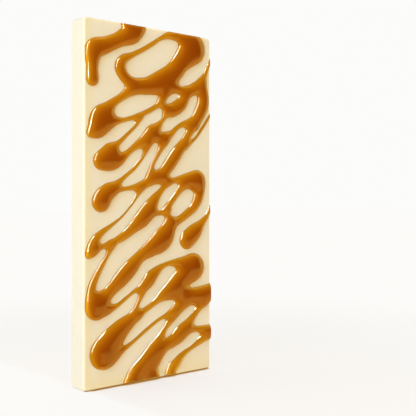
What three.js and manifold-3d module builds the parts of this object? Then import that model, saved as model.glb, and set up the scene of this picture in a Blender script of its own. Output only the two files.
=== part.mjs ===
// A bar of white chocolate that stands on one short end. One broad face is flat, with a
// network of caramel poured over it. The other is moulded into rows of bevelled blocks.
// Millimetres: X runs across the bar, +Z up its length, and the poured face looks to -Y.
import * as THREE from "three";
import { mergeVertices } from "three/addons/utils/BufferGeometryUtils.js";
import Module from "manifold-3d";

const wasm = await Module();
wasm.setup();

// The cast bar.
const BAR_LENGTH = 160;
const BAR_WIDTH = 72;
const BAR_THICKNESS = 11.5; // from the flat face to the tops of the blocks
const CORNER_RADIUS = 2;
const FACE_EDGE_RADIUS = 1.2; // round the flat face
const RIM_EDGE_RADIUS = 0.6; // round the slab behind, up to the foot of the outer blocks

// The moulded blocks.
const COLUMNS = 3;
const ROWS = 4;
const BLOCK_RISE = 2;
const BLOCK_BEVEL = 2.9; // how far a block's side leans in from its foot to its top
const BLOCK_CORNER = 0.7;
const BLOCK_TOP_EASE = 0.35; // the small round between a block's side and its top
const GROOVE_FLOOR = 0.5; // flat strip between two blocks
const BLOCK_ROOT = 0.4; // how far a block reaches down into the slab

// The poured caramel.
const EDGE_RISE = 0.9; // steep rise that every stroke has along its edges
const EDGE_ROUNDING = 0.5; // a small value makes that edge steep
const CROWN = 0.42; // how much a wide stroke is domed on top of that
const CARAMEL_ROOT = 1; // how far the caramel reaches down into the slab
const LEFT_GAP = 0.6; // bare edges that the caramel leaves round the face
const RIGHT_GAP = 0.15;
const FOOT_GAP = 0.9;
const TOP_GAP = 0.15;
const END_SLOPE = 1.3; // how far its cut ends lean in
const STROKE_STEP = 4; // spacing of the sections along a stroke
const SECTION = [-1, -0.86, -0.5, 0, 0.5, 0.86, 1]; // places across a stroke, 1 is its edge

// What the curves are split into.
const CORNER_STEPS = 3;
const EDGE_STEPS = 3;
const END_ANGLES = [80, 52, 25]; // degrees round the end of a stroke
const MERGE_DISTANCE = 1e-4;

const CREAM = 0xf6e7c4;
const SATIN = 0.38;

// The box round the bar and its caramel is centred on the origin, so the slab lies off it.
const TALLEST_POOL = 7.7;
const CARAMEL_TOP = caramelHeight(TALLEST_POOL, 0);
const FACE_Y = CARAMEL_TOP - (BAR_THICKNESS + CARAMEL_TOP) / 2;
const SLAB_BACK_Y = FACE_Y + BAR_THICKNESS - BLOCK_RISE;

// The strokes of caramel, as poured: [x, z, half width] along the middle of each one, with x
// from the bar's left side and z from its foot. Strokes that meet share a place.
const STROKES = [
  // across the top left corner and down the left side
  [[26.2, 161, 7.2], [24.8, 156.4, 5.3], [18.6, 152.5, 3.5], [11.3, 149, 3.7], [5, 146.2, 4.5],
   [4.2, 139.5, 3.1], [4.3, 133.7, 3.3]],
  // the thin loop under the top edge
  [[57, 156.6, 3.6], [52, 157.9, 2.6], [46, 157.8, 1.8], [41, 155.7, 1.1], [36, 152.4, 1.2],
   [30, 148.8, 1.2], [25, 146.2, 1.4], [20.3, 143.7, 2.3], [18.6, 140.4, 3], [20.4, 136.8, 2.8],
   [25.5, 133, 2.8]],
  // the large pool at the top right, and its arm down to the left side
  [[60.5, 153.7, 7.7], [54.1, 147.2, 5.2], [48.5, 140.8, 4.9], [41, 135.7, 5.3], [34, 133.4, 4.1],
   [27.5, 132.4, 3.6], [23, 129.6, 2.4], [19.2, 127, 1.9], [15, 124.2, 2.1], [12, 121, 3.4],
   [8.8, 116.4, 6], [6.6, 112.8, 4.6], [3.4, 110.6, 2.3]],
  // threads down from the arm to the second drop
  [[12, 116.3, 3.6], [19.5, 116.9, 1.3], [28, 119.3, 1.3], [35, 122.4, 1.3], [39, 124.7, 1.3],
   [41.8, 127.2, 1.6], [43.4, 130.5, 2.8]],
  [[41, 127, 1.5], [42.6, 125, 1.4], [45.6, 123.6, 1.8]],
  [[29.6, 118.4, 1.3], [26.9, 114.7, 1], [22.5, 110.8, 1], [18.1, 107, 1.3], [13.4, 103.9, 2.7]],
  // the second drop, and its arm up to the right
  [[8.9, 98.9, 4.3], [13.2, 99.9, 5.5], [18.4, 99.9, 2.9], [22.5, 102.4, 1.6], [26.3, 105.3, 1.6],
   [31, 108, 2.6], [36.3, 111.8, 3.5], [39.6, 115.3, 2.1], [42.3, 118.3, 1.2], [44.6, 121.7, 2.2],
   [48, 123.3, 3.2], [52.8, 126.2, 3.3], [55.2, 129, 2.9], [56.7, 132, 2.5]],
  // out of the large pool to the right, and off the side
  [[46, 135, 4.5], [50, 134, 2.6], [54, 133.2, 1.8], [58, 133.3, 2.5], [62.4, 135, 3],
   [66, 137.4, 2.5], [68.6, 142.6, 1.4], [70.6, 146.4, 1.1], [73, 151, 1]],
  // the long band from the right side down to the third drop
  [[66, 137.5, 2.4], [67.1, 133, 3.2], [66.8, 127.5, 3.7], [63.7, 121.4, 3.3], [57.8, 112.8, 2.1],
   [55.2, 108.7, 2.5], [51.1, 104, 3.2], [46.6, 98.5, 3.3], [42.2, 93.8, 2.9], [36, 90.9, 2.6],
   [29.5, 88.1, 1.8], [20.5, 86.6, 1.1], [15, 86, 2.4], [10.4, 83.7, 4.3], [8.7, 81.3, 4.8]],
  [[73, 124.4, 0.8], [68.8, 118.6, 0.8], [63.2, 111.9, 0.8], [60.2, 109.2, 0.8], [56.5, 107, 1]],
  [[61, 118, 2.8], [55, 117.4, 1.5], [51, 115.5, 1.2], [48, 112.8, 1.5], [43.2, 109.6, 2.6],
   [41.3, 105.5, 1.7], [39, 101.6, 1.2], [36.8, 98.1, 1.2], [34.7, 92.7, 1.8]],
  [[43.2, 109.6, 2.6], [40.6, 110.3, 1.9], [36.3, 111.8, 3.5]],
  [[34.2, 107, 1.8], [30.9, 100.9, 1], [26.6, 96.1, 1], [22, 92.6, 1], [17.5, 89.2, 1.5],
   [13, 86, 3]],
  // the loop below it on the right
  [[40, 92.2, 2.6], [47, 90.6, 1.5], [52.5, 91.4, 1.7], [57.5, 91, 3.6], [63.3, 90.9, 4.7]],
  [[63, 90.6, 4.6], [64.8, 86.7, 3.2], [63.7, 82.4, 3], [61, 78.2, 2.4], [56.5, 74.9, 2],
   [51.5, 72.1, 2], [47, 70.6, 2.6]],
  [[54.8, 89, 2.3], [51.2, 84.9, 1.6], [48, 81.4, 1.6], [45.7, 78.6, 1.7], [45.2, 74.6, 1.4],
   [46.5, 71.3, 2.2]],
  [[36.5, 76.4, 1.8], [41, 75.7, 1.1], [45, 77.4, 1.8]],
  // from the band down to the left side
  [[46.3, 90, 1.2], [42.8, 87, 1.3], [39.2, 83.6, 2], [35.8, 79.4, 3.3], [32, 74.6, 4.2],
   [26, 69.8, 2.8], [19.3, 65.2, 1.9], [10, 61.9, 1.1], [5, 60.7, 2.2]],
  [[30, 87.3, 1.7], [27.7, 83.5, 1], [24.5, 79.2, 0.7], [20, 74.7, 0.7], [14.5, 71, 0.9],
   [9.2, 67.8, 1.4], [5.6, 64.6, 2.1], [3.8, 60.4, 2.8], [2.4, 58.4, 1.8]],
  [[14.2, 62, 1.8], [11.7, 57.5, 1.2], [9, 53.3, 1.3], [6.1, 49, 1.7], [4.2, 45, 2],
   [3.6, 41, 2.6], [6.3, 36.4, 5.4]],
  // the second long band, down to the pool on the left side
  [[47.6, 71.8, 2], [46, 68.6, 3.9], [42.4, 63.8, 5.4], [36.3, 60.2, 4.1], [29.9, 56.6, 2.9],
   [23.9, 51.2, 3.8], [19.4, 47.3, 3.8], [14.2, 42.9, 3], [10.2, 39.4, 3.4], [6.8, 36, 5.4]],
  // the drop that hangs in from the right side
  [[73.4, 80, 1.2], [69.9, 74.5, 1.3], [66.2, 70.6, 2], [61.5, 66.3, 4.1], [57.1, 63, 4.5]],
  // the lower right pool and what runs out of it
  [[60.9, 49.8, 6], [56, 51.6, 3.7], [46, 52.4, 1.2], [41, 50.7, 1.6], [37.2, 48, 2.7],
   [34.6, 45.6, 3.3], [31.8, 42.2, 2.3], [28.6, 36, 1.2], [26, 31.3, 1.5]],
  [[60.9, 49.8, 6], [54.5, 45.4, 5.2], [48, 40.5, 4.5], [41.3, 37.3, 2.3], [37.3, 34.7, 1.4],
   [28.5, 30.2, 1.5]],
  [[50, 40, 4.2], [55, 37.3, 3.6], [60, 36.1, 4], [66, 35.8, 4.7], [73, 37.2, 4.4]],
  [[67.2, 33.1, 2.6], [64.3, 29.6, 1.5], [61, 26.5, 1.7], [57.9, 23.4, 2.4], [53.6, 19.5, 3.9],
   [49, 16.6, 3.2], [43.6, 14.4, 2.8], [38.8, 10.8, 3.9], [35.2, 5, 4.2], [35.4, -1, 5.9]],
  [[55.5, 34.4, 3.6], [51.1, 30.6, 2.9], [47.5, 26.9, 2.3], [44.1, 22.9, 1.4], [41, 18.6, 2],
   [36.5, 13.2, 3.5], [31.5, 8, 3.9], [27, 3, 4.8], [25.6, -1, 5.8]],
  [[57, 20.8, 2.4], [63, 20.3, 1.4], [67.6, 19.3, 2.2], [73, 18, 3.2]],
  [[70.3, 17.3, 2.8], [66, 14.7, 1.8], [60.5, 12, 1.1], [56, 10, 1.3], [53, 8.1, 1.8],
   [50.2, 5.4, 2.5], [47.6, 3, 3], [46.9, -1, 3.8]],
  // the lower left drop
  [[10.1, 15.6, 7.1], [14.3, 20.5, 5.9], [19.3, 25.1, 4.4], [24, 28.1, 3.3], [28.3, 30.4, 2.1]],
  [[12, 14.3, 4.7], [16, 14.1, 2.5], [20, 15.6, 1.3], [26, 18.8, 0.9], [33, 23.1, 0.9],
   [40, 26.9, 0.9], [45, 28.9, 1], [49.5, 30.6, 1.6]],
  [[31, 43, 1.5], [26.2, 41, 0.9], [21.3, 38, 0.9], [17, 35.5, 1.1], [12, 34.2, 2.2]],
];

// Height of the caramel above the face at `place` across a stroke: 0 is its middle, 1 its edge.
function caramelHeight(halfWidth, place) {
  const fullness = (halfWidth * Math.max(0, 1 - place * place)) / 2;
  return EDGE_RISE * (1 - Math.exp(-fullness / EDGE_ROUNDING)) + CROWN * fullness;
}

// Joins rings of as many points each into a closed solid with flat ends. Each ring runs
// counter-clockwise seen from the last ring, and is convex.
function loft(rings) {
  const count = rings[0].length;
  const positions = rings.flat().flatMap((point) => point.toArray());
  const lastStart = (rings.length - 1) * count;
  const faces = [];
  for (let start = 0; start < lastStart; start += count) {
    for (let here = 0; here < count; here++) {
      const next = (here + 1) % count;
      faces.push(start + here, start + next, start + count + here);
      faces.push(start + next, start + count + next, start + count + here);
    }
  }
  for (let here = 1; here + 1 < count; here++) {
    faces.push(0, here + 1, here);
    faces.push(lastStart, lastStart + here, lastStart + here + 1);
  }
  const geometry = new THREE.BufferGeometry();
  geometry.setAttribute("position", new THREE.Float32BufferAttribute(positions, 3));
  geometry.setIndex(faces);
  return toSolid(geometry);
}

function toSolid(geometry) {
  const merged = mergeVertices(geometry, MERGE_DISTANCE);
  const vertProperties = new Float32Array(merged.attributes.position.array);
  const triVerts = new Uint32Array(merged.index.array);
  return new wasm.Manifold(new wasm.Mesh({ numProp: 3, vertProperties, triVerts }));
}

function toGeometry(solid) {
  const { vertProperties, triVerts } = solid.getMesh();
  const geometry = new THREE.BufferGeometry();
  geometry.setAttribute("position", new THREE.BufferAttribute(vertProperties, 3));
  geometry.setIndex(new THREE.BufferAttribute(triVerts, 1));
  geometry.computeVertexNormals();
  return geometry;
}

// An upright rectangle with round corners at depth y, counter-clockwise seen from +Y.
function roundedRectangle(centreX, centreZ, width, length, radius, y) {
  const ring = [];
  const quarters = [[1, 1], [1, -1], [-1, -1], [-1, 1]];
  quarters.forEach(([sideX, sideZ], quarter) => {
    for (let step = 0; step <= CORNER_STEPS; step++) {
      const angle = (Math.PI / 2) * (quarter + step / CORNER_STEPS);
      const x = centreX + sideX * (width / 2 - radius) + radius * Math.sin(angle);
      const z = centreZ + sideZ * (length / 2 - radius) + radius * Math.cos(angle);
      ring.push(new THREE.Vector3(x, y, z));
    }
  });
  return ring;
}

// The bar's own outline, drawn in by `inset` at depth y.
function barOutline(inset, y) {
  const radius = Math.max(CORNER_RADIUS - inset, RIM_EDGE_RADIUS);
  const width = BAR_WIDTH - 2 * inset;
  const length = BAR_LENGTH - 2 * inset;
  return roundedRectangle(0, BAR_LENGTH / 2, width, length, radius, y);
}

function makeSlab() {
  const rings = [];
  for (let step = 0; step <= EDGE_STEPS; step++) {
    const angle = (Math.PI / 2) * (step / EDGE_STEPS);
    const inset = FACE_EDGE_RADIUS * (1 - Math.sin(angle));
    rings.push(barOutline(inset, FACE_Y + FACE_EDGE_RADIUS * (1 - Math.cos(angle))));
  }
  for (let step = 0; step <= EDGE_STEPS; step++) {
    const angle = (Math.PI / 2) * (step / EDGE_STEPS);
    const inset = RIM_EDGE_RADIUS * (1 - Math.cos(angle));
    rings.push(barOutline(inset, SLAB_BACK_Y - RIM_EDGE_RADIUS * (1 - Math.sin(angle))));
  }
  return loft(rings);
}

// One block: its side leans in from the foot, and eases over into the flat top.
function makeBlock(centreX, centreZ, width, length) {
  const section = (grow, rise) => roundedRectangle(
    centreX, centreZ, width + 2 * grow, length + 2 * grow, BLOCK_CORNER, SLAB_BACK_Y + rise);
  const lean = BLOCK_BEVEL / BLOCK_RISE;
  const shoulder = BLOCK_RISE - BLOCK_TOP_EASE / lean;
  return loft([
    section(0, -BLOCK_ROOT),
    section(0, 0),
    section(-shoulder * lean, shoulder),
    section(-BLOCK_BEVEL - BLOCK_TOP_EASE, BLOCK_RISE),
  ]);
}

function makeBlocks() {
  const pitchX = (BAR_WIDTH - 2 * RIM_EDGE_RADIUS + GROOVE_FLOOR) / COLUMNS;
  const pitchZ = (BAR_LENGTH - 2 * RIM_EDGE_RADIUS + GROOVE_FLOOR) / ROWS;
  const blocks = [];
  for (let column = 0; column < COLUMNS; column++) {
    for (let row = 0; row < ROWS; row++) {
      const x = (column - (COLUMNS - 1) / 2) * pitchX;
      const z = BAR_LENGTH / 2 + (row - (ROWS - 1) / 2) * pitchZ;
      blocks.push(makeBlock(x, z, pitchX - GROOVE_FLOOR, pitchZ - GROOVE_FLOOR));
    }
  }
  return wasm.Manifold.union(blocks);
}

// A domed section of a stroke of `halfWidth` round `centre`. `angle` is 0 along the stroke and
// nears a right angle at the tip of a round end, where the section moves out and shrinks.
function strokeSection(centre, direction, halfWidth, angle) {
  const outward = new THREE.Vector3(0, -1, 0);
  const across = new THREE.Vector3().crossVectors(direction, outward);
  const ahead = Math.sin(angle);
  const shrink = Math.cos(angle);
  const at = (place, rise) => centre.clone()
    .addScaledVector(direction, ahead * halfWidth)
    .addScaledVector(across, place * shrink * halfWidth)
    .addScaledVector(outward, rise);
  const surface = SECTION.map((place) => (
    at(place, caramelHeight(halfWidth, Math.hypot(ahead, place * shrink)))));
  return [at(-1, -CARAMEL_ROOT), ...surface, at(1, -CARAMEL_ROOT)];
}

// One stroke: sections along a smooth line through its places, with a round end at each end.
function makeStroke(places) {
  const points = places.map(([x, z, halfWidth]) => new THREE.Vector3(x, halfWidth, z));
  const line = new THREE.CatmullRomCurve3(points, false, "centripetal");
  const sectionAt = (t, angle) => {
    const { x, y: halfWidth, z } = line.getPoint(t);
    const centre = new THREE.Vector3(x - BAR_WIDTH / 2, FACE_Y, z);
    const direction = line.getTangent(t).setY(0).normalize();
    return strokeSection(centre, direction, halfWidth, THREE.MathUtils.degToRad(angle));
  };
  const steps = Math.max(2, Math.round(line.getLength() / STROKE_STEP));
  const along = Array.from({ length: steps + 1 }, (_, step) => sectionAt(step / steps, 0));
  const start = END_ANGLES.map((angle) => sectionAt(0, -angle));
  const end = END_ANGLES.map((angle) => sectionAt(1, angle)).reverse();
  return loft([...start, ...along, ...end]);
}

// The outline that the caramel stays in, drawn in by `inset` at depth y.
function caramelOutline(inset, y) {
  const width = BAR_WIDTH - LEFT_GAP - RIGHT_GAP - 2 * inset;
  const length = BAR_LENGTH - FOOT_GAP - TOP_GAP - 2 * inset;
  const centreX = (LEFT_GAP - RIGHT_GAP) / 2;
  const centreZ = (BAR_LENGTH + FOOT_GAP - TOP_GAP) / 2;
  return roundedRectangle(centreX, centreZ, width, length, CORNER_RADIUS, y);
}

// All the strokes as one network, cut off short of the bar's sides.
function makeCaramel() {
  const poured = wasm.Manifold.union(STROKES.map(makeStroke));
  const room = loft([
    caramelOutline(END_SLOPE, FACE_Y - CARAMEL_TOP),
    caramelOutline(0, FACE_Y),
    caramelOutline(0, FACE_Y + 2 * CARAMEL_ROOT),
  ]);
  return poured.intersect(room);
}

function makeChocolateBar() {
  const solid = makeSlab().add(makeBlocks()).add(makeCaramel());
  const material = new THREE.MeshStandardMaterial({ color: CREAM, roughness: SATIN, metalness: 0 });
  const mesh = new THREE.Mesh(toGeometry(solid), material);
  mesh.name = "chocolate_bar";
  return mesh;
}

const bar = new THREE.Group();
bar.add(makeChocolateBar());

export default bar;
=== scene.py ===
import math

import bmesh
import bpy
import numpy as np
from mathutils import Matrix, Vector


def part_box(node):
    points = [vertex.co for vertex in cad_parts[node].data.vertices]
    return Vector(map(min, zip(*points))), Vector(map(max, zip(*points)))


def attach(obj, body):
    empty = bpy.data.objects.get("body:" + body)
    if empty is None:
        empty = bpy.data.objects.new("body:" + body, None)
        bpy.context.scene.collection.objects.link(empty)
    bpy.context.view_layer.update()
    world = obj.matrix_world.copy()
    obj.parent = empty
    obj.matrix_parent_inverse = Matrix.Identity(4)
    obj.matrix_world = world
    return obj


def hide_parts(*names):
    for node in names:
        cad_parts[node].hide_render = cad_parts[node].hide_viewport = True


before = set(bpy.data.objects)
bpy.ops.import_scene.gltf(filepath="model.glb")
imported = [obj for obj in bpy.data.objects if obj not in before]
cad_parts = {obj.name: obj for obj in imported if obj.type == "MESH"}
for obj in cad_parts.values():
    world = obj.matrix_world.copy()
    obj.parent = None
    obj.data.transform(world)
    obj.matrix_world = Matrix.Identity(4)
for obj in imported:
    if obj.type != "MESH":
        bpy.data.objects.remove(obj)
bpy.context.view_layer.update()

MM = 0.001

# ---------------------------------------------------------------- sizes, in millimetres

LOW, HIGH = (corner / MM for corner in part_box("chocolate_bar"))
LENGTH = HIGH.z
WIDTH = HIGH.x - LOW.x
POOL_TOP = 2.516                     # height of the widest pool of caramel
FACE_Y = LOW.y + POOL_TOP            # the flat face
BLOCK_RISE = 2.0
BACK_Y = HIGH.y - BLOCK_RISE         # foot of the blocks

CORNER_RADIUS = 2.0
FACE_EDGE_RADIUS = 1.2
RIM = 0.6                            # from the bar's side to the foot of the outer blocks
RIM_EDGE_RADIUS = 0.3
COLUMNS, ROWS = 3, 4
BLOCK_BEVEL = 2.9
GROOVE_FLOOR = 0.5
BLOCK_EDGE_RADIUS = 0.5              # worn-off edge round a block's top

EDGE_RISE = 0.9                      # steep rise that every stroke has along its edges
EDGE_ROUNDING = 0.5                  # a small value makes that edge steep
CROWN = 0.42                         # how much a wide stroke is domed on top of that
WEB = 2.6                            # how far two strokes that meet draw together
LEFT_GAP, RIGHT_GAP = 0.6, 0.15      # bare edges that the caramel leaves round the face
FOOT_GAP, TOP_GAP = 0.9, 0.15
EDGE_STEEPNESS = 2.4                 # how quickly the caramel rises from those bare edges
CARAMEL_ROOT = 0.5                   # how far the caramel's edge reaches down into the bar
CARAMEL_BACK = 1.5                   # depth below the face at which the caramel is closed
SMOOTHING = 0.6                      # rounds off the corners where strokes meet
GRID_STEP = 0.28                     # spacing of the points on the caramel's surface
LIGHT_REACH, LIGHT_STEP = 4.5, 0.5   # how far light comes through it, and the step of that sum

# The strokes of caramel, as poured: x from the bar's left side, z from its foot, half width.
STROKES = [
    # across the top left corner and down the left side
    [(26.2, 161, 7.2), (24.8, 156.4, 5.3), (18.6, 152.5, 3.5), (11.3, 149, 3.7), (5, 146.2, 4.5),
     (4.2, 139.5, 3.1), (4.3, 133.7, 3.3)],
    # the thin loop under the top edge
    [(57, 156.6, 3.6), (52, 157.9, 2.6), (46, 157.8, 1.8), (41, 155.7, 1.1), (36, 152.4, 1.2),
     (30, 148.8, 1.2), (25, 146.2, 1.4), (20.3, 143.7, 2.3), (18.6, 140.4, 3), (20.4, 136.8, 2.8),
     (25.5, 133, 2.8)],
    # the large pool at the top right, and its arm down to the left side
    [(60.5, 153.7, 7.7), (54.1, 147.2, 5.2), (48.5, 140.8, 4.9), (41, 135.7, 5.3), (34, 133.4, 4.1),
     (27.5, 132.4, 3.6), (23, 129.6, 2.4), (19.2, 127, 1.9), (15, 124.2, 2.1), (12, 121, 3.4),
     (8.8, 116.4, 6), (6.6, 112.8, 4.6), (3.4, 110.6, 2.3)],
    # threads down from the arm to the second drop
    [(12, 116.3, 3.6), (19.5, 116.9, 1.3), (28, 119.3, 1.3), (35, 122.4, 1.3), (39, 124.7, 1.3),
     (41.8, 127.2, 1.6), (43.4, 130.5, 2.8)],
    [(41, 127, 1.5), (42.6, 125, 1.4), (45.6, 123.6, 1.8)],
    [(29.6, 118.4, 1.3), (26.9, 114.7, 1), (22.5, 110.8, 1), (18.1, 107, 1.3), (13.4, 103.9, 2.7)],
    # the second drop, and its arm up to the right
    [(8.9, 98.9, 4.3), (13.2, 99.9, 5.5), (18.4, 99.9, 2.9), (22.5, 102.4, 1.6), (26.3, 105.3, 1.6),
     (31, 108, 2.6), (36.3, 111.8, 3.5), (39.6, 115.3, 2.1), (42.3, 118.3, 1.2), (44.6, 121.7, 2.2),
     (48, 123.3, 3.2), (52.8, 126.2, 3.3), (55.2, 129, 2.9), (56.7, 132, 2.5)],
    # out of the large pool to the right, and off the side
    [(46, 135, 4.5), (50, 134, 2.6), (54, 133.2, 1.8), (58, 133.3, 2.5), (62.4, 135, 3),
     (66, 137.4, 2.5), (68.6, 142.6, 1.4), (70.6, 146.4, 1.1), (73, 151, 1)],
    # the long band from the right side down to the third drop
    [(66, 137.5, 2.4), (67.1, 133, 3.2), (66.8, 127.5, 3.7), (63.7, 121.4, 3.3), (57.8, 112.8, 2.1),
     (55.2, 108.7, 2.5), (51.1, 104, 3.2), (46.6, 98.5, 3.3), (42.2, 93.8, 2.9), (36, 90.9, 2.6),
     (29.5, 88.1, 1.8), (20.5, 86.6, 1.1), (15, 86, 2.4), (10.4, 83.7, 4.3), (8.7, 81.3, 4.8)],
    [(73, 124.4, 0.8), (68.8, 118.6, 0.8), (63.2, 111.9, 0.8), (60.2, 109.2, 0.8), (56.5, 107, 1)],
    [(61, 118, 2.8), (55, 117.4, 1.5), (51, 115.5, 1.2), (48, 112.8, 1.5), (43.2, 109.6, 2.6),
     (41.3, 105.5, 1.7), (39, 101.6, 1.2), (36.8, 98.1, 1.2), (34.7, 92.7, 1.8)],
    [(43.2, 109.6, 2.6), (40.6, 110.3, 1.9), (36.3, 111.8, 3.5)],
    [(34.2, 107, 1.8), (30.9, 100.9, 1), (26.6, 96.1, 1), (22, 92.6, 1), (17.5, 89.2, 1.5),
     (13, 86, 3)],
    # the loop below it on the right
    [(40, 92.2, 2.6), (47, 90.6, 1.5), (52.5, 91.4, 1.7), (57.5, 91, 3.6), (63.3, 90.9, 4.7)],
    [(63, 90.6, 4.6), (64.8, 86.7, 3.2), (63.7, 82.4, 3), (61, 78.2, 2.4), (56.5, 74.9, 2),
     (51.5, 72.1, 2), (47, 70.6, 2.6)],
    [(54.8, 89, 2.3), (51.2, 84.9, 1.6), (48, 81.4, 1.6), (45.7, 78.6, 1.7), (45.2, 74.6, 1.4),
     (46.5, 71.3, 2.2)],
    [(36.5, 76.4, 1.8), (41, 75.7, 1.1), (45, 77.4, 1.8)],
    # from the band down to the left side
    [(46.3, 90, 1.2), (42.8, 87, 1.3), (39.2, 83.6, 2), (35.8, 79.4, 3.3), (32, 74.6, 4.2),
     (26, 69.8, 2.8), (19.3, 65.2, 1.9), (10, 61.9, 1.1), (5, 60.7, 2.2)],
    [(30, 87.3, 1.7), (27.7, 83.5, 1), (24.5, 79.2, 0.7), (20, 74.7, 0.7), (14.5, 71, 0.9),
     (9.2, 67.8, 1.4), (5.6, 64.6, 2.1), (3.8, 60.4, 2.8), (2.4, 58.4, 1.8)],
    [(14.2, 62, 1.8), (11.7, 57.5, 1.2), (9, 53.3, 1.3), (6.1, 49, 1.7), (4.2, 45, 2),
     (3.6, 41, 2.6), (6.3, 36.4, 5.4)],
    # the second long band, down to the pool on the left side
    [(47.6, 71.8, 2), (46, 68.6, 3.9), (42.4, 63.8, 5.4), (36.3, 60.2, 4.1), (29.9, 56.6, 2.9),
     (23.9, 51.2, 3.8), (19.4, 47.3, 3.8), (14.2, 42.9, 3), (10.2, 39.4, 3.4), (6.8, 36, 5.4)],
    # the drop that hangs in from the right side
    [(73.4, 80, 1.2), (69.9, 74.5, 1.3), (66.2, 70.6, 2), (61.5, 66.3, 4.1), (57.1, 63, 4.5)],
    # the lower right pool and what runs out of it
    [(60.9, 49.8, 6), (56, 51.6, 3.7), (46, 52.4, 1.2), (41, 50.7, 1.6), (37.2, 48, 2.7),
     (34.6, 45.6, 3.3), (31.8, 42.2, 2.3), (28.6, 36, 1.2), (26, 31.3, 1.5)],
    [(60.9, 49.8, 6), (54.5, 45.4, 5.2), (48, 40.5, 4.5), (41.3, 37.3, 2.3), (37.3, 34.7, 1.4),
     (28.5, 30.2, 1.5)],
    [(50, 40, 4.2), (55, 37.3, 3.6), (60, 36.1, 4), (66, 35.8, 4.7), (73, 37.2, 4.4)],
    [(67.2, 33.1, 2.6), (64.3, 29.6, 1.5), (61, 26.5, 1.7), (57.9, 23.4, 2.4), (53.6, 19.5, 3.9),
     (49, 16.6, 3.2), (43.6, 14.4, 2.8), (38.8, 10.8, 3.9), (35.2, 5, 4.2), (35.4, -1, 5.9)],
    [(55.5, 34.4, 3.6), (51.1, 30.6, 2.9), (47.5, 26.9, 2.3), (44.1, 22.9, 1.4), (41, 18.6, 2),
     (36.5, 13.2, 3.5), (31.5, 8, 3.9), (27, 3, 4.8), (25.6, -1, 5.8)],
    [(57, 20.8, 2.4), (63, 20.3, 1.4), (67.6, 19.3, 2.2), (73, 18, 3.2)],
    [(70.3, 17.3, 2.8), (66, 14.7, 1.8), (60.5, 12, 1.1), (56, 10, 1.3), (53, 8.1, 1.8),
     (50.2, 5.4, 2.5), (47.6, 3, 3), (46.9, -1, 3.8)],
    # the lower left drop
    [(10.1, 15.6, 7.1), (14.3, 20.5, 5.9), (19.3, 25.1, 4.4), (24, 28.1, 3.3), (28.3, 30.4, 2.1)],
    [(12, 14.3, 4.7), (16, 14.1, 2.5), (20, 15.6, 1.3), (26, 18.8, 0.9), (33, 23.1, 0.9),
     (40, 26.9, 0.9), (45, 28.9, 1), (49.5, 30.6, 1.6)],
    [(31, 43, 1.5), (26.2, 41, 0.9), (21.3, 38, 0.9), (17, 35.5, 1.1), (12, 34.2, 2.2)],
]


# ---------------------------------------------------------------- modelling helpers

def start_piece(name):
    """Names the primitive that was just added, and opens it in edit mode with nothing selected."""
    piece = bpy.context.active_object
    piece.name = piece.data.name = name
    bpy.ops.object.transform_apply(location=True, rotation=True, scale=True)
    bpy.ops.object.mode_set(mode="EDIT")
    bpy.ops.mesh.select_all(action="DESELECT")
    return piece


def select_where(piece, kind, test):
    """Selects the faces or edges whose middle, in millimetres, passes the test, and nothing else."""
    bpy.ops.mesh.select_mode(type=kind)
    bpy.ops.mesh.select_all(action="DESELECT")
    shape = bmesh.from_edit_mesh(piece.data)
    for item in (shape.faces if kind == "FACE" else shape.edges):
        middle = sum((vert.co for vert in item.verts), Vector()) / len(item.verts) / MM
        item.select_set(bool(test(middle, item)))
    shape.select_flush_mode()
    bmesh.update_edit_mesh(piece.data)


def finish_mesh(piece):
    """Leaves edit mode with all faces turned outwards."""
    bpy.ops.mesh.select_mode(type="FACE")
    bpy.ops.mesh.select_all(action="SELECT")
    bpy.ops.mesh.normals_make_consistent(inside=False)
    bpy.ops.object.mode_set(mode="OBJECT")
    return piece


# ---------------------------------------------------------------- the cast bar

def outline_gap(place):
    """Distance in from the bar's outline to a place in mm, round corners included."""
    dx = abs(place.x) - (WIDTH / 2 - CORNER_RADIUS)
    dz = abs(place.z - LENGTH / 2) - (LENGTH / 2 - CORNER_RADIUS)
    return CORNER_RADIUS - math.hypot(max(dx, 0), max(dz, 0)) - min(max(dx, dz), 0)


def round_edges(piece, test, radius, segments):
    """Bevels the edges that pass the test, apart from those within a flat face."""
    nearly_flat = math.radians(12)
    select_where(piece, "EDGE", lambda middle, edge: (
        edge.calc_face_angle(0) > nearly_flat and test(middle, edge)))
    bpy.ops.mesh.bevel(offset=radius * MM, segments=segments, profile=0.5, affect="EDGES")


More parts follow.
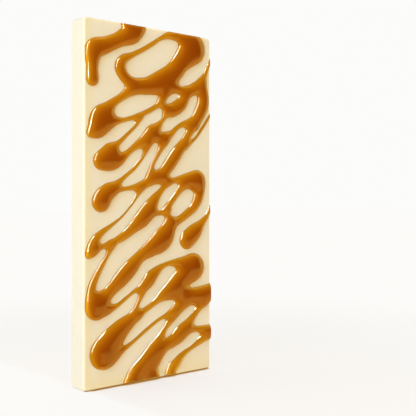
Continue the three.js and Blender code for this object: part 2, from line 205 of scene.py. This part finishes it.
def model_bar():
    """A slab whose back is cut into cells, each drawn in and raised into a bevelled block."""
    bpy.ops.object.select_all(action="DESELECT")
    depth = BACK_Y - FACE_Y
    bpy.ops.mesh.primitive_cube_add(
        size=1, location=(0, (FACE_Y + depth / 2) * MM, LENGTH / 2 * MM),
        scale=(WIDTH * MM, depth * MM, LENGTH * MM))
    piece = start_piece("white_chocolate")
    near = 0.02    # mm within which two places count as the same

    def on_back(middle, item):
        return middle.y > BACK_Y - near

    def inner_back(middle, item):
        return on_back(middle, item) and outline_gap(middle) > RIM

    round_edges(piece, lambda middle, edge: (
        abs(abs(middle.x) - WIDTH / 2) < near and abs(middle.z - LENGTH / 2) > LENGTH / 2 - near),
        CORNER_RADIUS, segments=6)

    # The back's rim, the lines between the cells, and the grooves.
    half_groove = GROOVE_FLOOR / 2
    select_where(piece, "FACE", on_back)
    bpy.ops.mesh.inset(thickness=(RIM - half_groove) * MM)
    pitch_x = (WIDTH - 2 * RIM + GROOVE_FLOOR) / COLUMNS
    pitch_z = (LENGTH - 2 * RIM + GROOVE_FLOOR) / ROWS
    for column in range(1, COLUMNS):
        select_where(piece, "FACE", inner_back)
        x = (column - COLUMNS / 2) * pitch_x
        bpy.ops.mesh.bisect(plane_co=(x * MM, 0, 0), plane_no=(1, 0, 0))
    for row in range(1, ROWS):
        select_where(piece, "FACE", inner_back)
        z = LENGTH / 2 + (row - ROWS / 2) * pitch_z
        bpy.ops.mesh.bisect(plane_co=(0, 0, z * MM), plane_no=(0, 0, 1))
    select_where(piece, "FACE", inner_back)
    bpy.ops.mesh.inset(thickness=half_groove * MM, use_individual=True)
    select_where(piece, "EDGE", lambda middle, edge: on_back(middle, edge) and all(
        abs(outline_gap(vert.co / MM) - RIM + half_groove) < near for vert in edge.verts))
    bpy.ops.mesh.dissolve_edges(use_verts=True)

    # The blocks, and the round edges that the mould and handling leave.
    half_cell = pitch_x * pitch_z * MM * MM / 2
    lean_in = [1 - 2 * BLOCK_BEVEL / (pitch - GROOVE_FLOOR) for pitch in (pitch_x, pitch_z)]
    for column in range(COLUMNS):
        for row in range(ROWS):
            x = (column - (COLUMNS - 1) / 2) * pitch_x
            z = LENGTH / 2 + (row - (ROWS - 1) / 2) * pitch_z
            select_where(piece, "FACE", lambda middle, face: (
                abs(middle.y - BACK_Y) < near and face.calc_area() > half_cell
                and abs(middle.x - x) < pitch_x / 2 and abs(middle.z - z) < pitch_z / 2))
            bpy.ops.mesh.extrude_region_move(
                TRANSFORM_OT_translate={"value": (0, BLOCK_RISE * MM, 0)})
            bpy.ops.transform.resize(
                value=(lean_in[0], 1, lean_in[1]), center_override=(x * MM, HIGH.y * MM, z * MM))
    round_edges(piece, lambda middle, edge: (
        middle.y < FACE_Y + near and outline_gap(middle) < near * 2),
        FACE_EDGE_RADIUS, segments=5)
    round_edges(piece, lambda middle, edge: (
        abs(middle.y - BACK_Y) < near and outline_gap(middle) < near * 2),
        RIM_EDGE_RADIUS, segments=4)
    round_edges(piece, lambda middle, edge: middle.y > BACK_Y + near,
                BLOCK_EDGE_RADIUS, segments=4)
    return finish_mesh(piece)


# ---------------------------------------------------------------- the drizzled caramel

def smooth_line(stroke, spacing):
    """Points along a smooth line through a stroke's places, as x, z and half width."""
    places = np.array(stroke, dtype=float)
    before = 2 * places[0] - places[1]
    after = 2 * places[-1] - places[-2]
    knots = np.vstack([before, places, after])
    points = []
    for start in range(1, len(knots) - 2):
        p0, p1, p2, p3 = knots[start - 1:start + 3]
        gap0, gap1, gap2 = (
            math.sqrt(np.linalg.norm(b - a)) for a, b in ((p0, p1), (p1, p2), (p2, p3)))
        leave = ((p1 - p0) / gap0 - (p2 - p0) / (gap0 + gap1) + (p2 - p1) / gap1) * gap1
        arrive = ((p2 - p1) / gap1 - (p3 - p1) / (gap1 + gap2) + (p3 - p2) / gap2) * gap1
        count = max(2, math.ceil(np.linalg.norm((p2 - p1)[:2]) / spacing))
        for t in np.arange(count) / count:
            points.append((2 * t**3 - 3 * t**2 + 1) * p1 + (t**3 - 2 * t**2 + t) * leave
                          + (3 * t**2 - 2 * t**3) * p2 + (t**3 - t**2) * arrive)
    points.append(places[-1])
    return np.array(points)


def stroke_fullness(stroke, x, z):
    """How far inside one stroke each place of the grid lies: 0 at its edge, half its half width
    in its middle, and negative outside."""
    far_outside = -4.0
    reach = 3.0    # mm beyond the stroke's own edge that are still worked out
    spacing = 0.6    # mm between the points along its line
    fullness = np.full((len(z), len(x)), far_outside)
    line = smooth_line(stroke, spacing)
    for (ax, az, a_wide), (bx, bz, b_wide) in zip(line[:-1], line[1:]):
        margin = max(a_wide, b_wide) + reach
        cols = slice(*np.searchsorted(x, (min(ax, bx) - margin, max(ax, bx) + margin)))
        rows = slice(*np.searchsorted(z, (min(az, bz) - margin, max(az, bz) + margin)))
        gx, gz = x[None, cols], z[rows, None]
        dx, dz = bx - ax, bz - az
        t = np.clip(((gx - ax) * dx + (gz - az) * dz) / (dx * dx + dz * dz), 0, 1)
        wide = a_wide + t * (b_wide - a_wide)
        off = (gx - ax - t * dx) ** 2 + (gz - az - t * dz) ** 2
        inside = (wide * wide - off) / (2 * wide)
        fullness[rows, cols] = np.maximum(fullness[rows, cols], inside)
    return fullness


def draw_together(a, b, web):
    """The larger of two fields, rounded over where they are nearly alike."""
    close = np.clip(web - np.abs(a - b), 0, None) / web
    return np.maximum(a, b) + close * close * web / 4


def smooth(values, radius):
    """A field blurred over a bell-shaped patch, whose radius is counted in steps of the grid."""
    reach = math.ceil(3 * radius)
    weights = np.exp(-0.5 * (np.arange(-reach, reach + 1) / radius) ** 2)
    weights /= weights.sum()
    for axis in (0, 1):
        ends = [(reach, reach) if along == axis else (0, 0) for along in (0, 1)]
        padded = np.pad(values, ends, mode="edge")
        count = values.shape[axis]
        values = sum(weight * np.take(padded, range(step, step + count), axis=axis)
                     for step, weight in enumerate(weights))
    return values


def edge_distance(x, z, left=0.0, right=0.0, foot=0.0, top=0.0):
    """Distance in from the bar's outline, or from one drawn in by a margin on each side."""
    half_wide = (WIDTH - left - right) / 2
    half_high = (LENGTH - foot - top) / 2
    dx = np.abs(x - left - half_wide)[None, :] - (half_wide - CORNER_RADIUS)
    dz = np.abs(z - foot - half_high)[:, None] - (half_high - CORNER_RADIUS)
    outside = np.hypot(np.maximum(dx, 0), np.maximum(dz, 0))
    return CORNER_RADIUS - outside - np.minimum(np.maximum(dx, dz), 0)


def caramel_surface(x, z):
    """Depth (y) of the caramel's surface and its height above the bar, over a grid in mm."""
    fullness = None
    for stroke in STROKES:
        own = stroke_fullness(stroke, x, z)
        fullness = own if fullness is None else draw_together(fullness, own, WEB)
    fullness = smooth(fullness, SMOOTHING / GRID_STEP)
    within = edge_distance(x, z, LEFT_GAP, RIGHT_GAP, FOOT_GAP, TOP_GAP)
    fullness = np.minimum(fullness, EDGE_STEEPNESS * within)
    full = np.maximum(fullness, 0)
    height = np.where(fullness > 0,
                      EDGE_RISE * (1 - np.exp(-full / EDGE_ROUNDING)) + CROWN * full,
                      fullness * EDGE_RISE / EDGE_ROUNDING)
    height = np.clip(height, -CARAMEL_ROOT, POOL_TOP)
    into_edge = np.clip(FACE_EDGE_RADIUS - edge_distance(x, z), 0, FACE_EDGE_RADIUS)
    drop = FACE_EDGE_RADIUS - np.sqrt(FACE_EDGE_RADIUS**2 - into_edge**2)
    return FACE_Y + drop - height, height


def light_path(height):
    """Mean depth of the caramel in mm that light from the upper left comes through."""
    to_light = (-0.8, 0.6)
    total = np.zeros_like(height)
    distances = np.arange(0.0, LIGHT_REACH, LIGHT_STEP)
    for distance in distances:
        cols, rows = (round(part * distance / GRID_STEP) for part in to_light)
        moved = np.roll(height, (-rows, -cols), axis=(0, 1))
        moved[moved.shape[0] - rows:] = 0
        moved[:, :-cols] = 0
        total += np.maximum(moved, 0)
    return total / len(distances)


def model_caramel():
    """A sheet over the flat face, raised to the caramel's surface, trimmed and closed behind."""
    bpy.ops.object.select_all(action="DESELECT")
    cols, rows = (round(size / GRID_STEP) for size in (WIDTH, LENGTH))
    bpy.ops.mesh.primitive_grid_add(
        x_subdivisions=cols, y_subdivisions=rows, size=1, rotation=(math.pi / 2, 0, 0),
        location=(0, FACE_Y * MM, LENGTH / 2 * MM))
    bpy.ops.transform.resize(value=(WIDTH * MM, 1, LENGTH * MM))
    piece = start_piece("caramel")
    bpy.ops.object.mode_set(mode="OBJECT")
    places = np.empty(len(piece.data.vertices) * 3)
    piece.data.vertices.foreach_get("co", places)
    places = places.reshape(rows + 1, cols + 1, 3) / MM
    x = places[0, :, 0] + WIDTH / 2
    z = places[:, 0, 2]
    depth, height = caramel_surface(x, z)
    places[:, :, 1] = depth
    piece.data.vertices.foreach_set("co", (places * MM).ravel())
    for name, values in (("film", height), ("light_path", light_path(height))):
        layer = piece.data.attributes.new(name, "FLOAT", "POINT")
        layer.data.foreach_set("value", np.maximum(values, 0).astype(np.float32).ravel())
    hair = 1e-6
    keep = (height > -CARAMEL_ROOT + hair).ravel()

    bpy.ops.object.mode_set(mode="EDIT")
    bpy.ops.mesh.select_mode(type="VERT")
    shape = bmesh.from_edit_mesh(piece.data)
    shape.verts.ensure_lookup_table()
    for vert, stays in zip(shape.verts, keep):
        vert.select_set(not stays)
    bmesh.update_edit_mesh(piece.data)
    bpy.ops.mesh.delete(type="VERT")
    bpy.ops.mesh.select_all(action="SELECT")
    bpy.ops.mesh.delete_loose(use_verts=True, use_edges=True, use_faces=False)
    bpy.ops.mesh.select_all(action="SELECT")
    bpy.ops.mesh.region_to_loop()
    bpy.ops.mesh.extrude_edges_move()
    bpy.ops.transform.resize(
        value=(1, 0, 1), center_override=(0, (FACE_Y + CARAMEL_BACK) * MM, 0))
    bpy.ops.mesh.fill(use_beauty=True)
    return finish_mesh(piece)


# ---------------------------------------------------------------- materials, lengths in mm

CLOUD_SIZE = 18                      # one pale patch in the cream
PAINTED_SHADE_REACH = 5                      # how far the painted golden shade spreads
PAINTED_SHADE_LEAN = (-0.4, 0, 0.3)          # leans it towards the light, at the upper left
FLOOR_SHADOW_REACH = 1.6                  # how far the painted contact shadow reaches on the floor


def linear(code):
    """An sRGB hex value as linear colour."""
    values = [int(code[i:i + 2], 16) / 255 for i in (1, 3, 5)]
    return (*(v / 12.92 if v <= 0.04045 else ((v + 0.055) / 1.055) ** 2.4 for v in values), 1)


def add(tree, kind, settings=None, **inputs):
    """Adds a node: settings are its properties, and inputs its sockets' values or links. An
    input is named as its socket is, or i0, i1 and so on by the socket's number."""
    node = tree.nodes.new(kind)
    for key, value in (settings or {}).items():
        setattr(node, key, value)
    for key, value in inputs.items():
        socket = node.inputs[int(key[1:])] if key[0] == "i" and key[1:].isdigit() else node.inputs[
            key.replace("_", " ")]
        if isinstance(value, bpy.types.NodeSocket):
            tree.links.new(value, socket)
        else:
            socket.default_value = value
    return node


def set_stops(ramp, stops):
    """Gives a colour ramp its colours, each at its place from 0 to 1."""
    colours = ramp.color_ramp.elements
    for index, (place, code) in enumerate(stops):
        stop = colours[index] if index < 2 else colours.new(place)
        stop.position = place
        stop.color = linear(code)


def new_material(name):
    """A material with one Principled shader, named for the real one."""
    material = bpy.data.materials.new(name)
    material.use_nodes = True
    tree = material.node_tree
    tree.nodes.clear()
    shader = add(tree, "ShaderNodeBsdfPrincipled")
    add(tree, "ShaderNodeOutputMaterial", Surface=shader.outputs[0])
    return material, tree, shader


def white_chocolate():
    """White chocolate, cast in a mould: cocoa butter and milk give a warm cream that light
    sinks a little way into, with a satin skin. It is painted golden beside the caramel and in
    the grooves, on the side that faces away from the light: painted shade. Its narrow sides are
    painted paler, which is painted light, and a brown line along the foot is a painted contact shadow."""
    material, tree, shader = new_material("white chocolate, cast")
    place = add(tree, "ShaderNodeTexCoord").outputs["Object"]
    parts = add(tree, "ShaderNodeSeparateXYZ", Vector=place)

    # Milk and cocoa butter cloud the cream a little. Its narrow sides and rounded edges are painted
    # paler than the broad faces: painted light, for the lit side and the highlight along the edges.
    cloud = add(tree, "ShaderNodeTexNoise", Vector=place, Scale=1 / (CLOUD_SIZE * MM), Detail=2.0)
    painted_light_side, broad_side = (
        add(tree, "ShaderNodeMix", {"data_type": "RGBA"}, i0=cloud.outputs["Fac"],
            i6=linear(pale), i7=linear(deep)).outputs[2]
        for pale, deep in (("#FBF3DF", "#F8EFD6"), ("#F9EFD6", "#F5E9CA")))
    on_face, on_back, off_left, off_foot = (
        add(tree, "ShaderNodeMapRange", Value=parts.outputs[axis], From_Min=start * MM,
            From_Max=end * MM).outputs[0]
        for axis, start, end in (
            ("Y", FACE_Y + 0.3, FACE_Y + 0.1), ("Y", BACK_Y - 0.6, BACK_Y - 0.2),
            ("X", LOW.x + 1, LOW.x + 6), ("Z", 2, 9)))
    broad = add(tree, "ShaderNodeMath", {"operation": "MAXIMUM"}, i0=on_face, i1=on_back).outputs[0]
    cream = add(tree, "ShaderNodeMix", {"data_type": "RGBA"}, i0=broad, i6=painted_light_side,
                i7=broad_side)

    # The face is warmer towards its left side and its foot.
    inner = add(tree, "ShaderNodeMath", {"operation": "MULTIPLY"}, i0=off_left, i1=off_foot).outputs[0]
    outer = add(tree, "ShaderNodeMath", {"operation": "SUBTRACT"}, i0=1.0, i1=inner).outputs[0]
    warm = add(tree, "ShaderNodeMath", {"operation": "MULTIPLY"}, i0=outer, i1=on_face).outputs[0]
    face = add(tree, "ShaderNodeMix", {"data_type": "RGBA"}, i0=warm, i6=cream.outputs[2],
               i7=linear("#F6E9C0"))

    # Painted shade: golden where something close by stands between the surface and the light.
    outwards = add(tree, "ShaderNodeNewGeometry").outputs["Normal"]
    lean = add(tree, "ShaderNodeVectorMath", {"operation": "ADD"}, i0=outwards, i1=PAINTED_SHADE_LEAN)
    open_share = add(tree, "ShaderNodeAmbientOcclusion", {"samples": 8},
                     Distance=PAINTED_SHADE_REACH * MM, Normal=lean.outputs[0]).outputs["AO"]
    painted_shade_tint = add(tree, "ShaderNodeValToRGB", Fac=open_share)
    set_stops(painted_shade_tint, ((0.1, "#A88840"), (0.45, "#D2A040"), (0.66, "#F2DCA8"), (0.89, "#FFFFFF")))
    above_floor, at_foot, at_front = (
        add(tree, "ShaderNodeMapRange", {"interpolation_type": "SMOOTHSTEP"},
            Value=parts.outputs[axis], From_Min=start * MM, From_Max=end * MM).outputs[0]
        for axis, start, end in (
            ("Z", 1.5, 5), ("Z", 1.1, 0.5), ("Y", FACE_Y + 1.2, FACE_Y + 0.9)))
    painted_shade_mix = add(tree, "ShaderNodeMix", {"data_type": "RGBA", "blend_type": "MULTIPLY"},
                  i0=above_floor, i6=face.outputs[2], i7=painted_shade_tint.outputs["Color"])

    # Painted contact shadow: a brown line along the front edge of the foot.
    painted_foot_shadow = add(tree, "ShaderNodeMath", {"operation": "MULTIPLY"}, i0=at_foot, i1=at_front).outputs[0]
    colour = add(tree, "ShaderNodeMix", {"data_type": "RGBA"}, i0=painted_foot_shadow, i6=painted_shade_mix.outputs[2],
                 i7=linear("#A8781E"))
    tree.links.new(colour.outputs[2], shader.inputs["Base Color"])
    shader.inputs["Roughness"].default_value = 0.42
    shader.inputs["IOR"].default_value = 1.46
    shader.inputs["Specular IOR Level"].default_value = 0.35
    shader.inputs["Subsurface Weight"].default_value = 0.25
    shader.inputs["Subsurface Radius"].default_value = (1.0, 0.7, 0.4)
    shader.inputs["Subsurface Scale"].default_value = 2.5 * MM
    return material


def caramel():
    """Caramel sauce, boiled sugar and cream, poured and set: clear amber where it is thin and where
    light from the upper left comes through a little of it, deep orange-brown where it is thick and
    the light has come a long way, golden where it ran thin at the bar's left side and foot, pale at
    its very edge, and with a wet gloss. The share that follows the light from the upper left is
    painted light."""
    material, tree, shader = new_material("caramel, poured")
    film, path = (
        add(tree, "ShaderNodeAttribute", {"attribute_name": name}).outputs["Fac"]
        for name in ("film", "light_path"))
    # The colour mixes the caramel's thickness with its depth towards the upper left light, so the side
    # towards that light is painted lighter amber: painted light.
    depth = add(tree, "ShaderNodeMix", {"data_type": "FLOAT"}, i0=0.6, i2=film, i3=path).outputs[0]
    share = add(tree, "ShaderNodeMath", {"operation": "DIVIDE"}, i0=depth, i1=POOL_TOP).outputs[0]
    amber = add(tree, "ShaderNodeValToRGB", Fac=share)
    set_stops(amber, ((0.0, "#C88C18"), (0.25, "#C57B0B"), (0.43, "#B56506"), (0.62, "#A65306"),
                      (1.0, "#924004")))

    place = add(tree, "ShaderNodeTexCoord").outputs["Object"]
    parts = add(tree, "ShaderNodeSeparateXYZ", Vector=place)
    by_left, by_foot, thin, off_edge = (
        add(tree, "ShaderNodeMapRange", {"interpolation_type": "SMOOTHSTEP"}, Value=value,
            From_Min=start, From_Max=end).outputs[0]
        for value, start, end in (
            (parts.outputs["X"], (LOW.x + 3.2) * MM, (LOW.x + 0.8) * MM),
            (parts.outputs["Z"], 10 * MM, 2 * MM), (film, 1.6, 1.0), (film, 0.15, 0.5)))
    outer = add(tree, "ShaderNodeMath", {"operation": "MAXIMUM"}, i0=by_left, i1=by_foot).outputs[0]
    run_thin = add(tree, "ShaderNodeMath", {"operation": "MULTIPLY"}, i0=outer, i1=thin).outputs[0]
    body = add(tree, "ShaderNodeMix", {"data_type": "RGBA"}, i0=run_thin, i6=amber.outputs["Color"],
               i7=linear("#E09A16"))
    rim = add(tree, "ShaderNodeValToRGB", Fac=film)
    set_stops(rim, ((0.0, "#ECC878"), (0.2, "#B07612")))
    colour = add(tree, "ShaderNodeMix", {"data_type": "RGBA"}, i0=off_edge, i6=rim.outputs["Color"],
                 i7=body.outputs[2])
    tree.links.new(colour.outputs[2], shader.inputs["Base Color"])
    shader.inputs["Roughness"].default_value = 0.04
    shader.inputs["IOR"].default_value = 1.48
    shader.inputs["Specular IOR Level"].default_value = 0.32
    return material


# ---------------------------------------------------------------- the pieces

def dress(piece, material, smooth_up_to, flat_faces=False):
    """Gives a piece its material, shading and place in the frame. Edges up to an angle in
    degrees look smooth, and flat faces between them can be made to look truly flat."""
    piece.data.materials.append(material)
    bpy.ops.object.select_all(action="DESELECT")
    piece.select_set(True)
    bpy.context.view_layer.objects.active = piece
    bpy.ops.object.shade_smooth_by_angle(angle=math.radians(smooth_up_to))
    if flat_faces:
        bpy.ops.object.modifier_add(type="WEIGHTED_NORMAL")
        piece.modifiers[0].keep_sharp = True
        bpy.ops.object.modifier_apply(modifier=piece.modifiers[0].name)
    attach(piece, "root")
    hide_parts("chocolate_bar")


dress(model_bar(), white_chocolate(), smooth_up_to=28, flat_faces=True)
dress(model_caramel(), caramel(), smooth_up_to=40)


# ---------------------------------------------------------------- floor, light and camera

FLOOR_SIZE = 8.0                     # metres
FLOOR_NEAR, FLOOR_FAR = 0.06, 0.35   # metres from the bar where the floor turns into background
FRONT_GLOW, LEFT_GLOW = 0.6, 0.9     # how much of the floor near the bar shines by itself
FLOOR_LIGHT = 1.04                   # brightness of that shine
STUDIO_LIGHT = 0.8                   # brightness of the studio's bright walls
BACK_SHARE = 0.7                     # and of the wall behind the bar, as a share of that
WALL_LIGHT = 3.1                     # brightness of the wall that the caramel mirrors
TABLE_LIGHT = 4.2                    # and of the lit table in front of it


def make_floor():
    """White paper, which turns into the white background away from the bar. Close to the foot
    of the drizzled face it is painted golden brown where the bar stands close: painted contact shadow."""
    bpy.ops.mesh.primitive_plane_add(size=FLOOR_SIZE, location=(0, 0, 0))
    floor = bpy.context.active_object
    floor.name = "floor"
    material, tree, shader = new_material("paper, white")
    shader.inputs["Roughness"].default_value = 0.9
    shader.inputs["Specular IOR Level"].default_value = 0.0
    place = add(tree, "ShaderNodeTexCoord").outputs["Object"]
    # Painted contact shadow: the floor turns golden brown where the bar is close by.
    contact = add(tree, "ShaderNodeAmbientOcclusion", {"samples": 8},
                  Distance=FLOOR_SHADOW_REACH * MM).outputs["AO"]
    painted_floor_shadow = add(tree, "ShaderNodeValToRGB", Fac=contact)
    set_stops(painted_floor_shadow, ((0.3, "#C8983C"), (0.85, "#F8F7F5")))
    across = add(tree, "ShaderNodeSeparateXYZ", Vector=place).outputs["X"]
    before_face = add(tree, "ShaderNodeMapRange", {"interpolation_type": "SMOOTHSTEP"}, Value=across,
                      From_Min=(LOW.x + 2) * MM, From_Max=(LOW.x + 6) * MM).outputs[0]
    paper = add(tree, "ShaderNodeMix", {"data_type": "RGBA"}, i0=before_face, i6=linear("#F8F7F5"),
                i7=painted_floor_shadow.outputs["Color"])
    tree.links.new(paper.outputs[2], shader.inputs["Base Color"])
    distance = add(tree, "ShaderNodeVectorMath", {"operation": "LENGTH"}, i0=place).outputs["Value"]
    least = add(tree, "ShaderNodeMix", {"data_type": "FLOAT"}, i0=before_face, i2=LEFT_GLOW,
                i3=FRONT_GLOW).outputs[0]
    away = add(tree, "ShaderNodeMapRange", {"interpolation_type": "SMOOTHSTEP"}, Value=distance,
               From_Min=FLOOR_NEAR, From_Max=FLOOR_FAR, To_Min=least).outputs[0]
    glow = add(tree, "ShaderNodeEmission", Color=paper.outputs[2], Strength=FLOOR_LIGHT)
    both = add(tree, "ShaderNodeMixShader", i0=away, i1=shader.outputs[0], i2=glow.outputs[0])
    output = next(node for node in tree.nodes if node.type == "OUTPUT_MATERIAL")
    tree.links.new(both.outputs[0], output.inputs["Surface"])
    floor.data.materials.append(material)
    floor.visible_glossy = False


def make_light(name, place, size, power, colour="#FFFFFF", mirrored=False, only=None):
    """A soft lamp that points at the bar, with its place and size in mm and its power in watts.
    A mirrored lamp shows in gloss alone, and the others don't show in it at all. A lamp may
    light one piece only."""
    light = bpy.data.lights.new(name, "AREA")
    light.shape = "RECTANGLE"
    light.size, light.size_y = (side * MM for side in size)
    light.energy = power
    light.color = linear(colour)[:3]
    lamp = bpy.data.objects.new(name, light)
    bpy.context.collection.objects.link(lamp)
    lamp.location = Vector(place) * MM
    middle = Vector((0, 0, LENGTH / 2))
    lamp.rotation_euler = (middle - Vector(place)).to_track_quat("-Z", "Y").to_euler()
    lamp.visible_glossy = mirrored
    lamp.visible_diffuse = not mirrored
    if only:
        lamp.light_linking.receiver_collection = bpy.data.collections.new(name)
        lamp.light_linking.receiver_collection.objects.link(bpy.data.objects[only])


def make_world():
    """A white background. The light that falls on the bar comes from a studio that is bright at
    its sides, dimmer and warmer behind the bar, and dark behind the camera. Gloss mirrors
    another one: a pale yellow wall on the right, and a lit golden table that stretches from it
    in front of the bar."""
    world = bpy.data.worlds.new("studio")
    bpy.context.scene.world = world
    world.use_nodes = True
    tree = world.node_tree
    tree.nodes.clear()
    seen = add(tree, "ShaderNodeBackground", Color=linear("#FCFCFA"), Strength=1.0)
    way = add(tree, "ShaderNodeTexCoord").outputs["Generated"]
    parts = add(tree, "ShaderNodeSeparateXYZ", Vector=way)
    off_camera, behind, below, above, front, right, side = (
        add(tree, "ShaderNodeMapRange", {"interpolation_type": "SMOOTHSTEP"},
            Value=parts.outputs[axis], From_Min=start, From_Max=end).outputs[0]
        for axis, start, end in (
            ("Y", -0.5, -0.2), ("Y", 0.3, 0.8), ("Z", -0.06, -0.22), ("Z", -0.7, -0.5),
            ("Y", -0.51, -0.47), ("Y", 0.2, -0.05), ("X", 0.1, 0.4)))

    bright, warm = (
        [part * light for part in linear(code)]
        for code, light in (("#FFFFFF", STUDIO_LIGHT), ("#FFEAC4", STUDIO_LIGHT * BACK_SHARE)))
    soft = add(tree, "ShaderNodeMix", {"data_type": "RGBA"}, i0=behind, i6=bright, i7=warm)
    lit = add(tree, "ShaderNodeBackground", Color=soft.outputs[2], Strength=off_camera)

    table = add(tree, "ShaderNodeMath", {"operation": "MULTIPLY"}, i0=below, i1=above).outputs[0]
    wall = add(tree, "ShaderNodeMath", {"operation": "MAXIMUM"}, i0=front, i1=table).outputs[0]
    for end in (right, side):
        wall = add(tree, "ShaderNodeMath", {"operation": "MULTIPLY"}, i0=wall, i1=end).outputs[0]
    hue = add(tree, "ShaderNodeMix", {"data_type": "RGBA"}, i0=table,
              i6=[part * WALL_LIGHT for part in linear("#F6E468")],
              i7=[part * TABLE_LIGHT for part in linear("#EBBA48")])
    mirrored = add(tree, "ShaderNodeBackground", Color=hue.outputs[2], Strength=wall)

    ray = add(tree, "ShaderNodeLightPath")
    gloss = add(tree, "ShaderNodeMixShader", i0=ray.outputs["Is Glossy Ray"], i1=lit.outputs[0],
                i2=mirrored.outputs[0])
    both = add(tree, "ShaderNodeMixShader", i0=ray.outputs["Is Camera Ray"], i1=gloss.outputs[0],
               i2=seen.outputs[0])
    add(tree, "ShaderNodeOutputWorld", Surface=both.outputs[0])


def make_camera():
    """In front of the bar and to its left, level with its middle and turned towards it."""
    place = Vector((-215.9, FACE_Y - 281.76, 82.42))    # mm
    turn = 41.62    # degrees to the right
    image_size, focal_length, drop = 416, 779.64, 9.45    # pixels
    camera = bpy.data.cameras.new("camera")
    camera.sensor_width = 36
    camera.lens = focal_length * camera.sensor_width / image_size
    camera.shift_y = -drop / image_size
    camera.clip_start = 0.01
    eye = bpy.data.objects.new("camera", camera)
    bpy.context.collection.objects.link(eye)
    eye.location = place * MM
    eye.rotation_euler = (math.pi / 2, 0, math.radians(-turn))
    bpy.context.scene.camera = eye


make_floor()
make_world()
make_light("key", (-700, -250, 220), (500, 700), 2.6, "#EAF2FF")
make_light("top", (0, -100, 1000), (900, 900), 3.2)
make_light("fill", (-250, -900, 250), (1100, 900), 4.5, "#FFE7C3")
make_light("back", (780, 380, 560), (250, 250), 6.0, "#FFF8E8", only="white_chocolate")
make_light("edge", (-720, -640, 200), (300, 1000), 18, mirrored=True, only="white_chocolate")
make_light("glint", (-476, -512, 565), (90, 1200), 42, "#F0F4E4", mirrored=True, only="caramel")
make_camera()
bpy.context.scene.view_settings.view_transform = "Standard"
